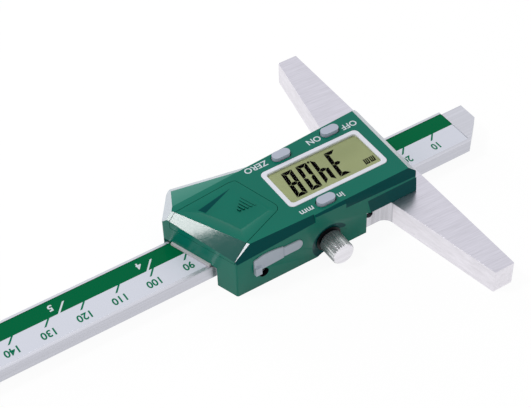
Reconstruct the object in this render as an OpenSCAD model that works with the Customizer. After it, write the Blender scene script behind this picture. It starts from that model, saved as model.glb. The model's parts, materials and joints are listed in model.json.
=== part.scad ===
// Digital depth gauge: a steel T-shaped base carries a moulded display housing,
// and a steel beam with a printed scale slides through both.
//
// The origin is the centre of the reference face, the narrow steel face that is set
// on the work. +X points out of that face, the way the beam is pushed into a hole.
// +Z points out of the display, and the gauge lies on its back, at the height rest_z.

/* [Base] */
// Length of the reference face, from wing tip to wing tip
base_l = 100; // [80:1:150]
// Steel left above the beam in the base
web_t = 1; // [0.8:0.1:2]
// Width of a wing at its tip
wing_tip_w = 6.2; // [5:0.1:9]
// Width of a wing where it meets the neck
wing_root_w = 13.3; // [12:0.1:16]
// Width of the neck, the part of the base that shows beside the housing
neck_w = 26.6; // [26.6:0.1:32]
// Length of the neck behind the reference face
neck_l = 20.7; // [18:0.1:24]
// Length of the base from the reference face to the end of its stem
stem_l = 58.5; // [54:0.5:62]
// Radius of the fillets between the neck and the wings
neck_fillet_r = 3; // [1:0.1:4]
// Radius of the wing tips' corners
tip_corner_r = 0.3; // [0.2:0.1:2]
// Thickness of the rear plate let into the base
plate_t = 2; // [1.5:0.1:3]

/* [Beam] */
// Length of the beam
beam_l = 232; // [190:1:320]
// Width of the beam
beam_w = 14.3; // [12:0.1:15]
// Thickness of the beam
beam_t = 4; // [3:0.1:5]
// How far the beam's tip stands out of the reference face at rest
tip_out = 27.25; // [10:0.05:60]
// Length of the bare tip past the end of the scale
tip_l = 6.95; // [5:0.05:12]
// Step in the beam's back edge where the bare tip starts
tip_step = 1.1; // [0.5:0.1:2]
// Width of the printed scale
label_w = 12.45; // [10:0.05:13]
// Offset of the scale from the beam's middle, towards the back edge
label_offset = 0.175; // [0:0.005:0.3]
// Thickness of the measuring strip under the scale
grid_t = 0.6; // [0.4:0.1:1]
// Thickness of the printed scale
label_t = 0.2; // [0.1:0.05:0.4]
// Depth of the scale's face below the beam's rails
label_sink = 0.1; // [0.05:0.05:0.3]
// Bare length at the beam's tail, where the end stop is screwed on
tail_l = 7.6; // [6:0.1:12]

/* [Housing] */
// Height of the housing above the base
cap_h = 8.5; // [8.2:0.1:12]
// Distance from the reference face back to the housing
cap_set_back = 4.4; // [3:0.1:6]
// Distance from the reference face to the far end, along the front wall
cap_l = 61.3; // [61:0.1:66]
// Half width of the housing
cap_half_w = 14.8; // [14.8:0.1:17]
// Angle of the skewed end wall
cap_skew = 19.2; // [15:0.1:21]
// How far the front wall leans out at the base, beside the neck
flare_w = 0.35; // [0.2:0.05:1]
// Thickness of the housing's walls
wall_t = 1.4; // [1:0.1:1.5]
// Thickness of the housing's top
top_t = 1.4; // [1:0.1:1.6]
// How far the thumb rest stands out from the back wall
thumb_out = 2.2; // [1:0.1:4]

/* [Display] */
// Length of the display's frame
lcd_l = 31.2; // [28:0.1:32]
// Width of the display's frame
lcd_w = 15.3; // [13:0.1:15.4]
// Width of the frame's border
lcd_border = 1.3; // [0.5:0.1:1.5]
// Distance from the reference face to the frame
lcd_back = 9.6; // [9:0.1:11]
// Offset of the frame from the beam's middle, towards the front
lcd_offset = 1.25; // [0.6:0.05:1.4]
// Depth of the window below the frame
window_sink = 0.3; // [0.2:0.1:1.2]
// Thickness of the window
window_t = 0.4; // [0.3:0.1:0.8]
// Thickness of the liquid crystal panel
panel_t = 1.5; // [1:0.1:2]

/* [Buttons] */
// Length of a button
button_l = 5.4; // [4.5:0.1:6.5]
// Width of a button
button_w = 2.7; // [2:0.1:2.8]
// How far a button stands proud
button_proud = 1; // [0.6:0.1:1.4]
// How far a button can be pressed
button_travel = 0.5; // [0.3:0.05:0.6]

/* [Battery] */
// Diameter of the coin cell
cell_d = 20; // [16:0.5:20]
// Thickness of the coin cell
cell_t = 3.2; // [2:0.1:3.2]
// Thickness of the battery cover
cover_t = 1.4; // [1:0.1:1.6]
// Depth of the grip recess in the battery cover, at its deep end
grip_depth = 0.9; // [0.4:0.1:0.9]

/* [Lock and gib] */
// Diameter of the lock screw's thread
lock_d = 3; // [2.5:0.1:3.2]
// Diameter of the lock screw's knurled head
knob_d = 6.6; // [5:0.1:7]
// Length of the lock screw's knurled head
knob_l = 6.8; // [5:0.1:9]
// How far the lock screw's head stands out from the front wall
knob_out = 6.4; // [5:0.1:8]
// Number of flutes in the knurl
knurl_flutes = 28; // [20:1:40]
// Diameter of the two gib screws
gib_screw_d = 2; // [1.6:0.1:2.2]
// Thickness of the gib strip
gib_t = 1; // [0.8:0.1:1.4]

/* [Electronics] */
// Thickness of the circuit board
board_t = 1; // [0.8:0.1:1.2]
// Thickness of the sensor board that reads the measuring strip
sensor_t = 0.9; // [0.6:0.05:0.9]
// Height of a key switch
switch_h = 1.6; // [1:0.1:1.8]

/* [Hidden] */

$fn = 64;

// Clearances, and the overrun of every cut
over = 1;
slide_gap = 0.1;
fit_gap = 0.05;
seam_gap = 0.15;
button_gap = 0.28;

// Heights, from the plane the gauge lies on upwards
base_t = plate_t + beam_t + 2 * slide_gap + web_t;
rest_z = -base_t / 2;
ledge_z = rest_z + plate_t;
beam_z = ledge_z + slide_gap;
rail_z = beam_z + beam_t;
roof_z = rail_z + slide_gap;
base_z = rest_z + base_t;
cap_z = base_z + cap_h;
board_z = base_z + board_t;
panel_z = cap_z - window_sink - window_t - panel_t;

// Base
stem_clear = 0.2;
stem_half_w = cap_half_w - wall_t - stem_clear;
rim_w = 1.4;
bridge_l = 3.5;
gib_end_l = 12.5;
gib_tail_l = 1.5;
window_x0 = -neck_l - 35.3;
window_l = 32;
window_w = 12.4;
screw_row = 10;
plate_screw_x = [-6, -48.5];
cap_screw_x = [-24, -cap_l + 17.8];
screw_d = 1.6;
screw_head_d = 2.6;
screw_head_t = 0.9;
screw_depth = 3;
slot_w = 0.4;
slot_depth = 0.4;

// Beam
beam_x0 = tip_out - beam_l;
label_x0 = beam_x0 + tail_l;
label_x1 = tip_out - tip_l;
label_y0 = label_offset - label_w / 2;
recess_t = grid_t + label_t + label_sink;
stop_l = 6;
stop_t = 1.4;
stop_overhang = 0.9;
stop_screw_row = 4;

// Housing outline
cap_corner_r = 2;
end_slant = 0.4;
seat_gap = 0.1;
skirt_x = -neck_l - seat_gap;
function end_x(y) = -cap_l - (y + cap_half_w) * tan(cap_skew);
waist_y = 8.5;
thumb_lean = 37;
thumb_x0 = -cap_l + 20.8;
thumb_fall = 14;
thumb_h = 10.5;
thumb_tip_y = cap_half_w + thumb_out;
thumb_tip = [end_x(waist_y) + (thumb_tip_y - waist_y) * tan(thumb_lean), thumb_tip_y];
// The rim at the thumb rest's outer edge, and how much steeper than the rest it falls
thumb_rim_w = 1.5;
thumb_rim_extra = 0.25;
thumb_side_w = 1;
thumb_side_fall = 50;
cap_front = [
    [-cap_set_back - end_slant, -cap_half_w],
    [-cap_set_back + end_slant, cap_half_w]];
cap_outline = [
    cap_front[0],
    cap_front[1],
    [end_x(waist_y) + (cap_half_w - waist_y) * tan(thumb_lean), cap_half_w],
    [end_x(waist_y), waist_y],
    [-cap_l, -cap_half_w]];
cap_corner_rs = [0.5, cap_corner_r, 1, 1, 0.6];
// The lean of the front wall: its upper end, and where it starts and is full
flare_z = base_z + 4.6;
flare_x0 = -neck_l;
flare_x1 = -neck_l + 1;

// Bevels round the top: a point of the upper edge, the way it faces and how it falls
back_edge = [-8.9, cap_half_w - 2.1];
back_turn = 93.8;
back_fall = 52;
end_edge_y = -12.4;
end_edge_l = 5.3;
end_edge = [end_x(end_edge_y) + end_edge_l, end_edge_y];
end_turn = 206.3;
end_fall = 30;
nose_edge = [-cap_set_back - 2.1, 0];
nose_turn = -1.6;
nose_fall = 39;
left_edge = [-cap_l + 5.7, 1.35 - cap_half_w];
left_turn = 268.5;
left_fall = 69;
right_edge = [-6.7, 0.97 - cap_half_w];
right_turn = 270.6;
right_fall = 73;
lock_x = -32.5;
bulge_x0 = lock_x - 4.7;
bulge_x1 = lock_x + 4.9;
bulge_edge = [bulge_x1, 0.8 - cap_half_w];
bulge_turn = 271.8;
bulge_fall = 45;

// Openings in the walls
beam_slot_h = 0.5;
boss_d = 3.4;
notch_z = beam_z + beam_t / 2 + 0.3;
notch_d = 2.9;
gib_sink = 1.5;

// Lock and gib
lock_z = beam_z + beam_t / 2;
dish_d = 11.4;
dish_depth = 0.9;
washer_t = 0.3;
washer_gap = 0.1;
pocket_d = 7.7;
knob_gap = 0.3;
knob_chamfer = 0.5;
flute_d = 0.48;
gib_back_l = 8.1;
gib_x = [-cap_l + gib_back_l, -neck_l + 1.9];
gib_w = beam_t - 0.2;
gib_y = -beam_w / 2 - fit_gap;
gib_slot_y = gib_y - gib_t - fit_gap;

// Display
lcd_x1 = -lcd_back;
lcd_x0 = lcd_x1 - lcd_l;
lcd_y0 = -lcd_w / 2 - lcd_offset;
lcd_corner_r = 1.5;
holder_inset = 0.7;
holder_wall = 1.6;
zebra_w = 1.2;
frame_proud = 0.1;

// Buttons
zero_at = [-32.2, 8.94];
power_at = [-16.1, 9.5];
unit_at = [-31.8, 0.5 - cap_half_w + wall_t + button_w / 2];
flange_w = 0.7;
flange_t = 0.8;
board_edge = 1;
stem_d = 2;
switch_w = 3;
button_z0 = cap_z - top_t - fit_gap;
press_z = board_z + switch_h + fit_gap + button_travel;

// Battery
cell_y = -1.8;
cell_back_l = 12.8;
cell_at = [end_x(cell_y) + cell_back_l, cell_y];
cell_lift = 1;
cell_z = board_z + cell_lift;
tray_wall = 1;
contact_t = 0.3;
contact_w = 4;
cover_back = [[-cap_l + 12, 8.1], [-cap_l - 4.75, 6.7]];
cover_right = [[-cap_l + 14, 7.9], [-cap_l + 18.4, -6.9]];
cover_front = [-cap_l + 4.4, -12.6];
cover_drop = 3.7;
cover_past_l = 6;
cover_corner_rs = [0, 0, 2, 1, 0, 0, 0];
lip_w = 1.2;
lip_t = 0.8;
tongue_l = 1.4;
tongue_w = 7;
tongue_t = 0.7;
cover_slide = [-cos(cap_skew), -sin(cap_skew)];
// The grip's corners, as shares of the cell's diameter from the cell's middle
grip_shares = [[-0.434, 0.28], [-0.134, -0.36], [0.387, -0.22], [0.19, 0.405]];
grip_wall_w = 1.7;
grip_corner_r = 0.6;
// Where the tilted floor of the grip comes out of the top, from the grip's deep side
grip_run_l = 11.8;
// The arrowhead: its ridges, its widest one's length and the place of that one's middle
ridge_count = 5;
ridge_w = 0.42;
ridge_pitch = 0.95;
ridge_l = 4.9;
ridge_at = [4.6, -0.1];

// Data port in the front wall
port_x0 = -cap_l + 5.1;
port_hinge_x = -cap_l + 14.1;
port_x1 = -cap_l + 19.9;
port_z0 = base_z - 0.5;
port_z1 = base_z + 3.4;
strap_drop = 0.35;
port_proud = 0.4;
port_seat = 0.6;
tab_w = 1.9;
tab_z0 = beam_z + 3.3;
// The port cover's outline, as shares of its length and height
port_shares = [[0.8, 1.1], [0.55, 1.17], [0.3, 1.15], [0.12, 1.05], [0, 0.97]];
port_foot_drop = 0.4;
port_nub_h = 2.6;
port_nub_out = 1.1;
socket_inset = 1;
pad_count = 4;
pad_w = 0.8;
pad_h = 0.8;
pad_back = 0.8;
pad_l = 0.8;

// Wiper
wiper_t = 0.3;
wiper_y0 = -6.6;
wiper_y1 = 5.6;
wiper_h = 0.8;
wiper_out = 0.6;

// Direction of a vector of the plane, and its length made 1
function unit(v) = v / norm(v);
function turned(v) = [-v.y, v.x];

// The same outline, run anticlockwise, moved in by d on every side
function inset(p, d) = [for (i = [0 : len(p) - 1])
    let (u = unit(p[i] - p[(i + len(p) - 1) % len(p)]),
         v = unit(p[(i + 1) % len(p)] - p[i]),
         m = turned(u) + turned(v))
    p[i] + m * d / (1 + u * v)];

// The same outline with its corners rounded to the radii rs
corner_steps = 6;
function rounded(p, rs) = [for (i = [0 : len(p) - 1])
    let (u = unit(p[(i + len(p) - 1) % len(p)] - p[i]),
         v = unit(p[(i + 1) % len(p)] - p[i]),
         half = acos(max(-1, min(1, u * v))) / 2,
         mid = p[i] + unit(u + v) * rs[i] / sin(half),
         a = p[i] + u * rs[i] / tan(half) - mid,
         b = p[i] + v * rs[i] / tan(half) - mid,
         start = atan2(a.y, a.x),
         sweep = (atan2(b.y, b.x) - start + 540) % 360 - 180)
    if (rs[i] == 0) p[i]
    else for (k = [0 : corner_steps])
        mid + rs[i] * [cos(start + sweep * k / corner_steps), sin(start + sweep * k / corner_steps)]];

// A straight-sided solid over an outline, between two heights
module prism(outline, z0, z1) {
    translate([0, 0, z0]) linear_extrude(z1 - z0) polygon(outline);
}

// A block between two corners
module block(a, b) {
    translate(a) cube(b - a);
}

// A slot-shaped solid of length l and width w, lying along X
module capsule(at, l, w, z0, z1) {
    translate([at.x, at.y, z0]) linear_extrude(z1 - z0) union() {
        square([l - w, w], center = true);
        for (side = [-1, 1]) translate([side * (l - w) / 2, 0]) circle(d = w);
    }
}

// A rectangle with rounded corners
module panel(x0, y0, l, w, r, z0, z1) {
    prism(rounded([[x0, y0], [x0 + l, y0], [x0 + l, y0 + w], [x0, y0 + w]], [r, r, r, r]), z0, z1);
}

// Everything beyond a slanting plane through a point of the housing's top edge
big = 4 * cap_l;
module beyond(edge, turn, fall, d) {
    translate([edge.x, edge.y, cap_z]) rotate([0, 0, turn]) rotate([0, fall, 0])
        translate([-big / 2, -big / 2, -d]) cube(big);
}

// A countersunk screw standing on its head, with its thread upwards
module screw(at, z0, length) {
    translate([at.x, at.y, z0]) difference() {
        union() {
            cylinder(d1 = screw_head_d, d2 = screw_d, h = screw_head_t);
            cylinder(d = screw_d, h = length);
        }
        for (turn = [0, 90]) rotate([0, 0, turn])
            block([-screw_d / 2, -slot_w / 2, -over], [screw_d / 2, slot_w / 2, slot_depth]);
    }
}

// The hole that such a screw sits in
module screw_hole(at, z0, length) {
    translate([at.x, at.y, z0]) {
        cylinder(d1 = screw_head_d + 2 * fit_gap, d2 = screw_d + 2 * fit_gap, h = screw_head_t);
        cylinder(d = screw_d + 2 * fit_gap, h = length);
        translate([0, 0, -over]) cylinder(d = screw_head_d + 2 * fit_gap, h = over);
    }
}

// A set screw along Y with a slotted outer end
module set_screw(x, y0, y1) {
    translate([x, y0, notch_z]) rotate([-90, 0, 0]) difference() {
        cylinder(d = gib_screw_d, h = y1 - y0);
        block([-gib_screw_d, -slot_w / 2, -over], [gib_screw_d, slot_w / 2, slot_depth]);
    }
}

module base_frame() {
    half = base_l / 2;
    wing = [[0, -half], [0, half], [-wing_tip_w, half], [-wing_root_w, neck_w / 2],
        [-neck_l, neck_w / 2], [-neck_l, stem_half_w], [-stem_l, stem_half_w],
        [-stem_l, -stem_half_w], [-neck_l, -stem_half_w], [-neck_l, -neck_w / 2],
        [-wing_root_w, -neck_w / 2], [-wing_tip_w, -half]];
    tip = tip_corner_r;
    wing_rs = [tip, tip, tip, neck_fillet_r, 0, 0, 0, 0, 0, 0, neck_fillet_r, tip];
    color([0.8, 0.8, 0.84]) difference() {
        prism(rounded(wing, wing_rs), rest_z, base_z);
        // Slot for the beam, right through to the reference face
        block([-stem_l - over, gib_y, ledge_z - over], [over, -gib_y, ledge_z]
            + [0, 0, roof_z - ledge_z]);
        // Bridge below the beam at the reference face stays
        block([-stem_l - over, rim_w - stem_half_w, rest_z - over],
            [-bridge_l, stem_half_w - rim_w, ledge_z]);
        // Pocket for the gib strip
        block([-stem_l + gib_tail_l, gib_slot_y, ledge_z - over], [-gib_end_l, gib_y + over, roof_z]);
        // Window for the sensor board
        block([window_x0, -window_w / 2, roof_z - over], [window_x0 + window_l, window_w / 2, base_z + over]);
        for (side = [-1, 1]) {
            for (x = plate_screw_x) translate([x, side * screw_row, ledge_z - over])
                cylinder(d = screw_d, h = over + screw_depth);
            for (x = cap_screw_x) screw_hole([x, side * screw_row], ledge_z, base_t);
        }
        for (x = gib_x) translate([x, gib_slot_y + over, notch_z]) rotate([90, 0, 0])
            cylinder(d = gib_screw_d + 2 * fit_gap, h = over + neck_w);
        translate([gib_x[0], -stem_half_w - over, notch_z]) rotate([-90, 0, 0])
            cylinder(d = notch_d, h = over + gib_sink);
        translate([lock_x, gib_slot_y + over, lock_z]) rotate([90, 0, 0])
            cylinder(d = lock_d + 2 * fit_gap, h = over + neck_w);
        wiper_form(slide_gap);
    }
}

module rear_plate() {
    y = stem_half_w - rim_w - fit_gap;
    color([0.72, 0.73, 0.76]) difference() {
        block([-stem_l, -y, rest_z], [-bridge_l - fit_gap, y, ledge_z]);
        for (side = [-1, 1]) for (x = plate_screw_x) screw_hole([x, side * screw_row], rest_z, base_t);
    }
}

module plate_screws() {
    color([0.55, 0.55, 0.58]) for (side = [-1, 1]) for (x = plate_screw_x)
        screw([x, side * screw_row], rest_z + fit_gap, plate_t + screw_depth - 4 * fit_gap);
}

module gib_strip() {
    x0 = -stem_l + gib_tail_l + fit_gap;
    z0 = beam_z + (beam_t - gib_w) / 2;
    color([0.75, 0.6, 0.3])
        block([x0, gib_y - gib_t, z0], [-gib_end_l - fit_gap, gib_y, z0 + gib_w]);
}

module gib_screws() {
    color([0.3, 0.3, 0.32]) {
        set_screw(gib_x[0], -stem_half_w + gib_sink, gib_y - gib_t);
        set_screw(gib_x[1], -neck_w / 2 + slot_depth, gib_y - gib_t);
    }
}

module lock_screw() {
    face_y = -cap_half_w - knob_out;
    color([0.78, 0.78, 0.8]) translate([lock_x, face_y, lock_z]) rotate([-90, 0, 0]) {
        difference() {
            union() {
                cylinder(d1 = knob_d - 2 * knob_chamfer, d2 = knob_d, h = knob_chamfer);
                translate([0, 0, knob_chamfer]) cylinder(d = knob_d, h = knob_l - 2 * knob_chamfer);
                translate([0, 0, knob_l - knob_chamfer])
                    cylinder(d1 = knob_d, d2 = knob_d - 2 * knob_chamfer, h = knob_chamfer);
            }
            for (k = [1 : knurl_flutes]) rotate([0, 0, k * 360 / knurl_flutes])
                translate([knob_d / 2, 0, -over]) rotate([0, 0, 45]) translate([-flute_d / 2, -flute_d / 2, 0])
                    cube([flute_d, flute_d, knob_l + 2 * over]);
        }
        cylinder(d = lock_d, h = gib_y - gib_t - knob_gap - face_y);
    }
}

// Dark washer at the bottom of the lock screw's pocket
module lock_washer() {
    y = dish_depth - cap_half_w - washer_t;
    color([0.06, 0.06, 0.07]) translate([lock_x, y, lock_z]) rotate([-90, 0, 0]) difference() {
        cylinder(d = pocket_d - 2 * fit_gap, h = washer_t);
        translate([0, 0, -over]) cylinder(d = lock_d + 2 * washer_gap, h = washer_t + 2 * over);
    }
}

module beam() {
    half = beam_w / 2;
    color([0.72, 0.73, 0.78]) difference() {
        prism([[beam_x0, -half], [label_x1, -half], [tip_out, tip_l - half], [tip_out, half - tip_step],
            [label_x1, half - tip_step], [label_x1, half], [beam_x0, half]], beam_z, rail_z);
        block([label_x0, label_y0, rail_z - recess_t], [label_x1, label_y0 + label_w, rail_z + over]);
        for (side = [-1, 1]) translate([beam_x0 + stop_l / 2, side * stop_screw_row, beam_z - over])
            cylinder(d = screw_d, h = beam_t + 2 * over);
    }
}

module scale_strip(z0, z1) {
    block([label_x0 + fit_gap, label_y0 + fit_gap, z0], [label_x1 - fit_gap, label_y0 + label_w - fit_gap, z1]);
}

module scale_grid() {
    color([0.5, 0.42, 0.2]) scale_strip(rail_z - recess_t, rail_z - recess_t + grid_t);
}

module scale_label() {
    color([0.82, 0.84, 0.88]) scale_strip(rail_z - label_sink - label_t, rail_z - label_sink);
}

module end_stop() {
    half = beam_w / 2 + stop_overhang;
    color([0.6, 0.6, 0.64]) difference() {
        block([beam_x0, -half, rail_z], [beam_x0 + stop_l, half, rail_z + stop_t]);
        for (side = [-1, 1]) translate([beam_x0 + stop_l / 2, side * stop_screw_row, rail_z + stop_t])
            mirror([0, 0, 1]) screw_hole([0, 0], 0, stop_t + over);
    }
}

module end_stop_screws() {
    color([0.5, 0.5, 0.53]) for (side = [-1, 1])
        translate([beam_x0 + stop_l / 2, side * stop_screw_row, rail_z + stop_t - fit_gap])
            mirror([0, 0, 1]) screw([0, 0], 0, stop_t + beam_t - 2 * fit_gap);
}

// The housing's outer form, or with d its cavity's form, that far inside it
module cap_form(d, z0, z1) {
    difference() {
        union() {
            difference() {
                prism(d > 0 ? inset(cap_outline, d) : rounded(cap_outline, cap_corner_rs), z0, z1);
                beyond(back_edge, back_turn, back_fall, d);
            }
            if (d == 0) thumb_rest(z1);
        }
        if (d == 0) thumb_side_bevel();
        beyond(end_edge, end_turn, end_fall, d);
        beyond(nose_edge, nose_turn, nose_fall, d);
        front_bevel(left_edge, left_turn, left_fall, -2 * cap_l, bulge_x0 - d, d);
        front_bevel(bulge_edge, bulge_turn, bulge_fall, bulge_x0 - d, bulge_x1 + d, d);
        front_bevel(right_edge, right_turn, right_fall, bulge_x1 + d, over, d);
    }
}

// Bevel on the front wall's upper edge, from x0 to x1
module front_bevel(edge, turn, fall, x0, x1, d) {
    intersection() {
        beyond(edge, turn, fall, d);
        block([x0, -2 * cap_half_w, rest_z - over], [x1, 0, cap_z + over]);
    }
}

// The front wall leans out towards the base beside the neck
module flare() {
    y = -cap_half_w;
    hull() {
        for (x = [flare_x1, cap_front[0].x - over]) translate([x, y, base_z + seat_gap])
            rotate([90, 0, 90]) linear_extrude(over)
                polygon([[0, 0], [-flare_w, 0], [0, flare_z - base_z]]);
        block([flare_x0, y, base_z + seat_gap], [flare_x1, y + fit_gap, flare_z]);
    }
}

// How far the top of the thumb rest has fallen at a place in plan
function thumb_drop(at) = tan(thumb_fall) * ((at - back_edge) * [cos(back_turn), sin(back_turn)]);

// Bevel between the end wall and the thumb rest's top
module thumb_side_bevel() {
    inward = [cos(thumb_lean), -sin(thumb_lean)];
    translate([0, 0, -thumb_drop(thumb_tip)])
        beyond(thumb_tip + thumb_side_w * inward, 180 - thumb_lean, thumb_side_fall, 0);
}

// Swelling of the back wall that the thumb pushes on
module thumb_rest(z1) {
    slant = tan(back_turn - 90);
    edge_y = back_edge.y + (back_edge.x - thumb_x0) * -slant;
    outline = [[thumb_x0, edge_y + fit_gap], thumb_tip,
        [end_x(waist_y), waist_y], [end_x(waist_y) + cell_d / 2, waist_y - wall_t],
        [thumb_x0, edge_y - wall_t]];
    along = unit(outline[1] - outline[0]);
    rim_edge = outline[0] + turned(along) * thumb_rim_w;
    rim_slope = tan(thumb_fall) * [cos(back_turn), sin(back_turn)] - thumb_rim_extra * turned(along);
    difference() {
        prism(rounded(outline, [0, 1.5, 1, 0, 0]), z1 - thumb_h, z1);
        beyond(back_edge, back_turn, thumb_fall, 0);
        translate([0, 0, -thumb_drop(rim_edge)])
            beyond(rim_edge, atan2(rim_slope.y, rim_slope.x), atan(norm(rim_slope)), 0);
    }
}

// Plan of the battery cover, carried out past the end wall
cover_plan = [
    cover_front + cover_slide * cover_past_l * 2,
    cover_front,
    cover_right[1],
    cover_right[0],
    cover_back[0],
    cover_back[1],
    cover_back[1] + cover_slide * cover_past_l * 2];

cover_outline = rounded(cover_plan, cover_corner_rs);

// The space that the battery cover fills, with a gap round it
module cover_space(gap, floor_gap) {
    difference() {
        prism(inset(cover_outline, -gap), cap_z - cover_drop - floor_gap, cap_z + over);
        // Inboard of the flange only the cover's own thickness is taken
        cap_form(cover_t + floor_gap, cap_z - 2 * cover_drop, cap_z - cover_t - floor_gap);
    }
}

module housing() {
    wall_y = -cap_half_w;
    color([0.16, 0.45, 0.38]) difference() {
        union() {
            difference() {
                cap_form(0, rest_z, cap_z);
                cap_form(wall_t, rest_z - over, cap_z - top_t);
                // Nothing hangs below the top of the base in front of the skirt
                block([skirt_x, -2 * cap_half_w, rest_z - over], [over, 2 * cap_half_w, base_z + seat_gap]);
            }
            flare();
            intersection() {
                cap_form(0, rest_z, cap_z);
                union() {
                    // Bosses that the housing's screws are driven into
                    for (side = [-1, 1]) for (x = cap_screw_x)
                        translate([x, side * screw_row, base_z + fit_gap])
                            cylinder(d = boss_d, h = cap_z - top_t - base_z);
                    cover_ledge();
                }
            }
        }
        cover_space(seam_gap, seam_gap);
        // Room for the base's stem
        block([-stem_l - stem_clear, -stem_half_w - stem_clear, rest_z - over],
            [skirt_x, stem_half_w + stem_clear, base_z + fit_gap]);
        // Opening for the beam in the end wall
        block([end_x(waist_y) - over, -waist_y, rest_z - over],
            [end_x(-cap_half_w), waist_y, rail_z + beam_slot_h]);
        // Rebate that the wiper sits in
        wiper_form(fit_gap);
        panel(lcd_x0 - fit_gap, lcd_y0 - fit_gap, lcd_l + 2 * fit_gap, lcd_w + 2 * fit_gap,
            lcd_corner_r + fit_gap, cap_z - 2 * top_t, cap_z + over);
        for (at = [zero_at, power_at, unit_at]) {
            capsule(at, button_l + 2 * button_gap, button_w + 2 * button_gap, cap_z - 2 * top_t, cap_z + over);
            capsule(at, button_l + 2 * flange_w + 2 * button_gap, button_w + 2 * button_gap,
                press_z, cap_z - top_t);
        }
        // Dished pocket round the lock screw
        translate([lock_x, wall_y, lock_z]) rotate([-90, 0, 0]) {
            translate([0, 0, -over]) cylinder(d = lock_d + 2 * washer_gap, h = 2 * over + wall_t);
            cylinder(d1 = dish_d, d2 = pocket_d, h = dish_depth);
            translate([0, 0, -over]) cylinder(d = dish_d, h = over);
        }
        // Hole that reaches the gib screw behind this wall
        translate([gib_x[0], wall_y - over, notch_z]) rotate([-90, 0, 0])
            cylinder(d = notch_d, h = over + wall_t + stem_clear);
        for (side = [-1, 1]) for (x = cap_screw_x)
            translate([x, side * screw_row, base_z - over]) cylinder(d = screw_d, h = over + screw_depth + fit_gap);
        port_seat_form(fit_gap);
        block([port_x0 + socket_inset, wall_y - over, port_z0 + socket_inset],
            [port_hinge_x - socket_inset, wall_y + wall_t + over, port_z1 - socket_inset]);
    }
}

// Ledge under the edge of the battery cover
module cover_ledge() {
    z0 = cap_z - cover_t - seam_gap - lip_t;
    difference() {
        prism(inset(cover_outline, -lip_w), z0, cap_z - top_t);
        prism(inset(cover_plan, lip_w), z0 - over, cap_z);
        // The ledge stops short of the end wall and leaves room for the tongue
        translate([end_edge.x, end_edge.y, z0 - over]) rotate([0, 0, -cap_skew])
            translate([-big, -big / 2, 0]) cube([big, big, 2 * cover_drop]);
        tongue_form(lip_w, over);
    }
}

// Tongue at the cover's inner edge, which hooks under the housing's top
module tongue_form(grow, drop) {
    mid = (cover_right[0] + cover_right[1]) / 2;
    along = unit(cover_right[0] - cover_right[1]);
    z1 = cap_z - cover_t - seam_gap;
    translate([mid.x, mid.y, z1 - tongue_t - drop]) rotate([0, 0, atan2(along.y, along.x) - 90])
        translate([-2 * tongue_l, -tongue_w / 2 - grow, 0])
            cube([3 * tongue_l + grow, tongue_w + 2 * grow, tongue_t + 2 * drop]);
}

module battery_cover() {
    color([0.14, 0.43, 0.36]) difference() {
        union() {
            difference() {
                intersection() {
                    cap_form(0, rest_z, cap_z);
                    prism(cover_outline, cap_z - cover_drop, cap_z);
                }
                cap_form(cover_t, rest_z, cap_z - cover_t);
            }
            tongue_form(0, 0);
            difference() {
                tongue_form(0, seam_gap);
                block([-cap_l, -cap_half_w, cap_z - top_t], [0, cap_half_w, cap_z]);
            }
        }
        grip_recess();
        // Edge of the flange follows the end wall down to a straight line
        block([-2 * cap_l, -2 * cap_half_w, cap_z - 2 * cover_drop], [0, 2 * cap_half_w, cap_z - cover_drop]);
    }
    color([0.14, 0.43, 0.36]) grip_ridges();
}

grip_plan = [for (s = grip_shares) cell_at + s * cell_d];

// Recess for the thumb: sloping sides, and a floor that comes up towards the display
module grip_recess() {
    rim = rounded(grip_plan, [for (corner = grip_plan) grip_corner_r]);
    side = unit(grip_plan[0] - grip_plan[1]);
    intersection() {
        hull() {
            prism(inset(grip_plan, grip_wall_w), cap_z - grip_depth, cap_z - grip_depth + fit_gap);
            prism(rim, cap_z, cap_z + over);
        }
        translate([grip_plan[1].x, grip_plan[1].y, cap_z - grip_depth])
            rotate([0, 0, atan2(side.y, side.x) - 90]) rotate([0, -atan(grip_depth / grip_run_l), 0])
                translate([-cap_l, -cap_l, 0]) cube(2 * cap_l);
    }
}

// Ridges in the grip, in the form of an arrowhead that points the way the cover slides off
module grip_ridges() {
    translate([cell_at.x, cell_at.y, cap_z - grip_depth - fit_gap]) rotate([0, 0, cap_skew])
        for (k = [0 : ridge_count - 1])
            translate([ridge_at.x - k * ridge_pitch, ridge_at.y - ridge_l * (1 - k / ridge_count) / 2, 0])
                cube([ridge_w, ridge_l * (1 - k / ridge_count), grip_depth + fit_gap]);
}

module housing_screws() {
    color([0.5, 0.5, 0.53]) for (side = [-1, 1]) for (x = cap_screw_x)
        screw([x, side * screw_row], ledge_z + fit_gap, base_z - ledge_z + screw_depth - fit_gap);
}

module circuit_board() {
    plan = inset(cap_outline, wall_t + board_edge);
    color([0.1, 0.35, 0.16]) difference() {
        intersection() {
            prism(plan, base_z, board_z);
            block([-stem_l + fit_gap, -stem_half_w, base_z], [-cap_set_back - wall_t - board_edge, stem_half_w, board_z]);
        }
        for (side = [-1, 1]) for (x = cap_screw_x) translate([x, side * screw_row, base_z - over])
            cylinder(d = boss_d + 4 * fit_gap, h = board_t + 2 * over);
        for (side = [-1, 1]) for (x = cap_screw_x)
            block([x - boss_d / 2 - 2 * fit_gap, side * screw_row - (side < 0 ? stem_half_w : 0), base_z - over],
                [x + boss_d / 2 + 2 * fit_gap, side * screw_row + (side > 0 ? stem_half_w : 0), board_z + over]);
    }
}

module sensor_board() {
    color([0.08, 0.3, 0.14])
        block([window_x0 + slide_gap, slide_gap - window_w / 2, base_z - sensor_t],
            [window_x0 + window_l - slide_gap, window_w / 2 - slide_gap, base_z]);
}

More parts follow.
